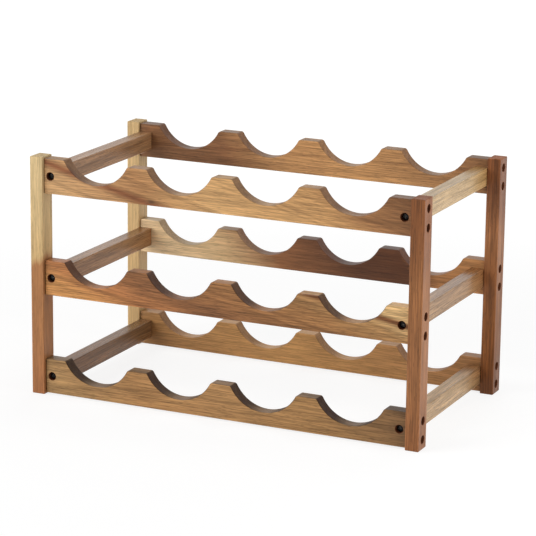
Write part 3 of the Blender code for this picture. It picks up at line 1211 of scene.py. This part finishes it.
# The right rails' last stops, at the back end, are darker as painted shade by the back post, and
# the left bottom rail's tones are partly painted shade.
SIDE_BOARDS: dict[tuple[Place, Tier], Board] = {
    (Place.LEFT, Tier.TOP): Board(
        tones={0.0: 0xA8805C, 1.0: 0xA47A54}, seed=11.0, roughness=0.27,
    ),
    (Place.LEFT, Tier.MIDDLE): Board(
        tones={0.0: 0x986E48, 0.6: 0xA27850, 1.0: 0x986C44}, seed=12.0, roughness=0.2,
    ),
    (Place.LEFT, Tier.BOTTOM): Board(
        tones={0.0: 0x886242, 1.0: 0x7E5C3C}, seed=13.0, roughness=0.27,
    ),
    (Place.RIGHT, Tier.TOP): Board(
        tones={0.0: 0xC0A37A, 0.75: 0xBE9F73, 1.0: 0xA68050},
        seed=14.0, streak=0x8E7048, streakiness=0.3, figure=0.1, roughness=0.27,
    ),
    (Place.RIGHT, Tier.MIDDLE): Board(
        tones={0.0: 0xA27F5A, 0.7: 0xA37D56, 1.0: 0x8A5C36}, seed=15.0, roughness=0.2,
    ),
    (Place.RIGHT, Tier.BOTTOM): Board(
        tones={0.0: 0xB8966C, 0.7: 0xB8966C, 1.0: 0x906640},
        seed=16.0, streak=0x7A5634, streakiness=0.35, contrast=0.12, roughness=0.3,
    ),
}


@dataclass
class WineRack:
    """The whole rack: four posts, three tiers of rails, and their screws."""

    finish: OiledWood
    steel: BlackenedSteel
    recess_turn_step: float = 0.7

    def __post_init__(self) -> None:
        """Find the record's material slots, and lay out every screw."""
        subparts = frame["record"]["subparts"]
        self.slots = {part["node"]: part["material_slot"] for part in subparts}
        self.screws = self.corner_screws()

    def corner_screws(self) -> list[Screw]:
        """Lay out the three screws at each corner of each tier.

        Returns:
            The screws, each with its recess turned past the one before.
        """
        screws = []
        corners = itertools.product((Place.FRONT, Place.BACK), (Place.LEFT, Place.RIGHT), Tier)
        for depth, side, tier in corners:
            corner = f"{depth.value}_{side.value}"
            post = f"post_{corner}"
            rail = f"cradle_rail_{depth.value}_{tier.value}"
            for kind, host in (
                ("post_screw_upper", post), ("post_screw_lower", post), ("rail_screw", rail)
            ):
                turn = self.recess_turn_step * len(screws)
                screws.append(Screw(f"{kind}_{corner}_{tier.value}", host, turn))
        return screws

    def wooden_pieces(self) -> list[WoodenBlock]:
        """Lay out the wooden pieces.

        Returns:
            The posts, then the cradle rails, then the side rails.
        """
        kinds = (
            (WoodenBlock, "post", Axis.Z, POST_BOARDS),
            (CradleRail, "cradle_rail", Axis.X, CRADLE_BOARDS),
            (WoodenBlock, "side_rail", Axis.Y, SIDE_BOARDS),
        )
        return [
            kind(f"{stem}_{place.value}_{other.value}", board, axis)
            for kind, stem, axis, boards in kinds
            for (place, other), board in boards.items()
        ]

    def build(self) -> list[Piece]:
        """Build every piece.

        Returns:
            The finished pieces, first the wooden ones and then the screws.
        """
        pieces = [
            wood.build(self.screws, self.finish, self.slots[wood.node])
            for wood in self.wooden_pieces()
        ]
        steel = self.steel.material()
        pieces += [screw.build(steel, self.slots[screw.node]) for screw in self.screws]
        return pieces


# ---- studio and camera


@dataclass
class Viewpoint:
    """Where the camera stands, as angles about the middle of the rack.

    Azimuth 0 looks straight at the front, and turns towards the right-hand side. Aside
    and above shift the camera without turning it. Lens ratio is focal length over
    sensor width, and the sensor is measured in millimetres.
    """

    azimuth: float = math.radians(24.83)
    elevation: float = math.radians(14.39)
    roll: float = math.radians(0.68)
    distance: float = 2.693
    aside: float = -0.0005
    above: float = 0.0077
    lens_ratio: float = 4.65821
    sensor_width: float = 36.0

    def build(self) -> None:
        """Make the camera and give it to the scene."""
        back = Vector((
            math.sin(self.azimuth) * math.cos(self.elevation),
            -math.cos(self.azimuth) * math.cos(self.elevation),
            math.sin(self.elevation),
        ))
        right = Vector((math.cos(self.azimuth), math.sin(self.azimuth), 0))
        up = back.cross(right)
        camera = bpy.data.cameras.new("camera")
        camera.sensor_width = self.sensor_width
        camera.lens = self.lens_ratio * self.sensor_width
        viewer = bpy.data.objects.new("camera", camera)
        bpy.context.scene.collection.objects.link(viewer)
        rolled = Matrix.Rotation(self.roll, 3, back)
        axes = Matrix((rolled @ right, rolled @ up, back)).transposed().to_4x4()
        place = MIDDLE + back * self.distance + right * self.aside + up * self.above
        viewer.matrix_world = Matrix.Translation(place) @ axes
        bpy.context.scene.camera = viewer


@dataclass(frozen=True)
class Softbox:
    """One square lamp, aimed at the middle of the rack."""

    name: str
    place: tuple[float, float, float]
    size: float
    watts: float

    def build(self) -> None:
        """Hang the lamp and aim it."""
        lamp = bpy.data.lights.new(self.name, "AREA")
        lamp.shape = "SQUARE"
        lamp.size = self.size
        lamp.energy = self.watts
        holder = bpy.data.objects.new(self.name, lamp)
        holder.location = self.place
        aim = MIDDLE - holder.location
        holder.rotation_euler = aim.to_track_quat("-Z", "Y").to_euler()
        bpy.context.scene.collection.objects.link(holder)


def seen_directly(graph: Graph) -> Socket:
    """Tell what the camera or a reflection sees, a 1, from what only gives light, a 0."""
    path = graph.add("ShaderNodeLightPath").outputs
    return graph.math("MAXIMUM", path["Is Camera Ray"], path["Is Glossy Ray"])


@dataclass
class Studio:
    """A pale floor, a white room and four softboxes.

    Floor share is how much of the floor's look near the rack is glow, while the rest shows
    the shadow. It rises to all of it between the two distances of floor fade.
    """

    floor_size: float = 14.0
    floor_gap: float = 0.0002
    floor_white: float = 0.93
    floor_share: float = 0.76
    floor_glow: float = 1.08
    floor_fade: tuple[float, float] = (0.4, 1.4)
    room_light: float = 0.24
    softboxes: tuple[Softbox, ...] = (
        Softbox("key_softbox", (-1.5, -1.9, 1.7), 1.3, 26.0),
        Softbox("left_softbox", (-2.1, -1.2, 0.8), 1.0, 22.0),
        Softbox("right_softbox", (0.78, -0.1, 0.38), 0.5, 2.6),
        Softbox("top_softbox", (0.05, 1.1, 2.3), 1.5, 12.0),
    )

    def build(self) -> None:
        """Build the floor, the room's light and the softboxes."""
        self.build_floor(LOWEST.z - self.floor_gap)
        self.build_room()
        for softbox in self.softboxes:
            softbox.build()
        bpy.context.scene.view_settings.view_transform = "Standard"

    def build_floor(self, height: float) -> None:
        """Lay the floor. Seen directly it glows a little, and it keeps the rack's shadow.

        Args:
            height: how high the floor lies.
        """
        shape = bmesh.new()
        bmesh.ops.create_grid(shape, x_segments=1, y_segments=1, size=self.floor_size / 2)
        bmesh.ops.translate(shape, vec=(0, 0, height), verts=shape.verts)
        floor = new_object("studio_floor", shape)
        material = bpy.data.materials.new("studio_floor_white")
        graph = blank_graph(material)
        white = (self.floor_white,) * 3 + (1.0,)
        paint = graph.add("ShaderNodeBsdfDiffuse", {"Color": white}).outputs["BSDF"]
        glow = graph.add("ShaderNodeEmission", {"Color": (1, 1, 1, 1), "Strength": self.floor_glow})
        point = graph.add("ShaderNodeTexCoord").outputs["Object"]
        away = graph.step(graph.vector("LENGTH", point), *self.floor_fade)
        share = graph.span(away, self.floor_share, 1.0)
        share = graph.math("MULTIPLY", seen_directly(graph), share)
        surface = graph.add("ShaderNodeMixShader", {0: share, 1: paint, 2: glow.outputs[0]})
        graph.add("ShaderNodeOutputMaterial", {"Surface": surface.outputs[0]})
        floor.data.materials.append(material)

    def build_room(self) -> None:
        """Fill the room with even light, white where the camera or a reflection sees it."""
        room = bpy.data.worlds.new("white_room")
        bpy.context.scene.world = room
        graph = blank_graph(room)
        strength = graph.span(seen_directly(graph), self.room_light, 1.0)
        light = graph.add("ShaderNodeBackground", {"Color": (1, 1, 1, 1), "Strength": strength})
        graph.add("ShaderNodeOutputWorld", {"Surface": light.outputs[0]})


def main() -> None:
    """Build the rack, the studio and the camera."""
    logging.basicConfig(level=logging.INFO, format="%(name)s: %(message)s")
    for piece in WineRack(OiledWood(Patterns()), BlackenedSteel()).build():
        LOG.info("%s: %d faces", piece.name, len(piece.data.polygons))
    Studio().build()
    Viewpoint().build()


if __name__ == "__main__":
    main()
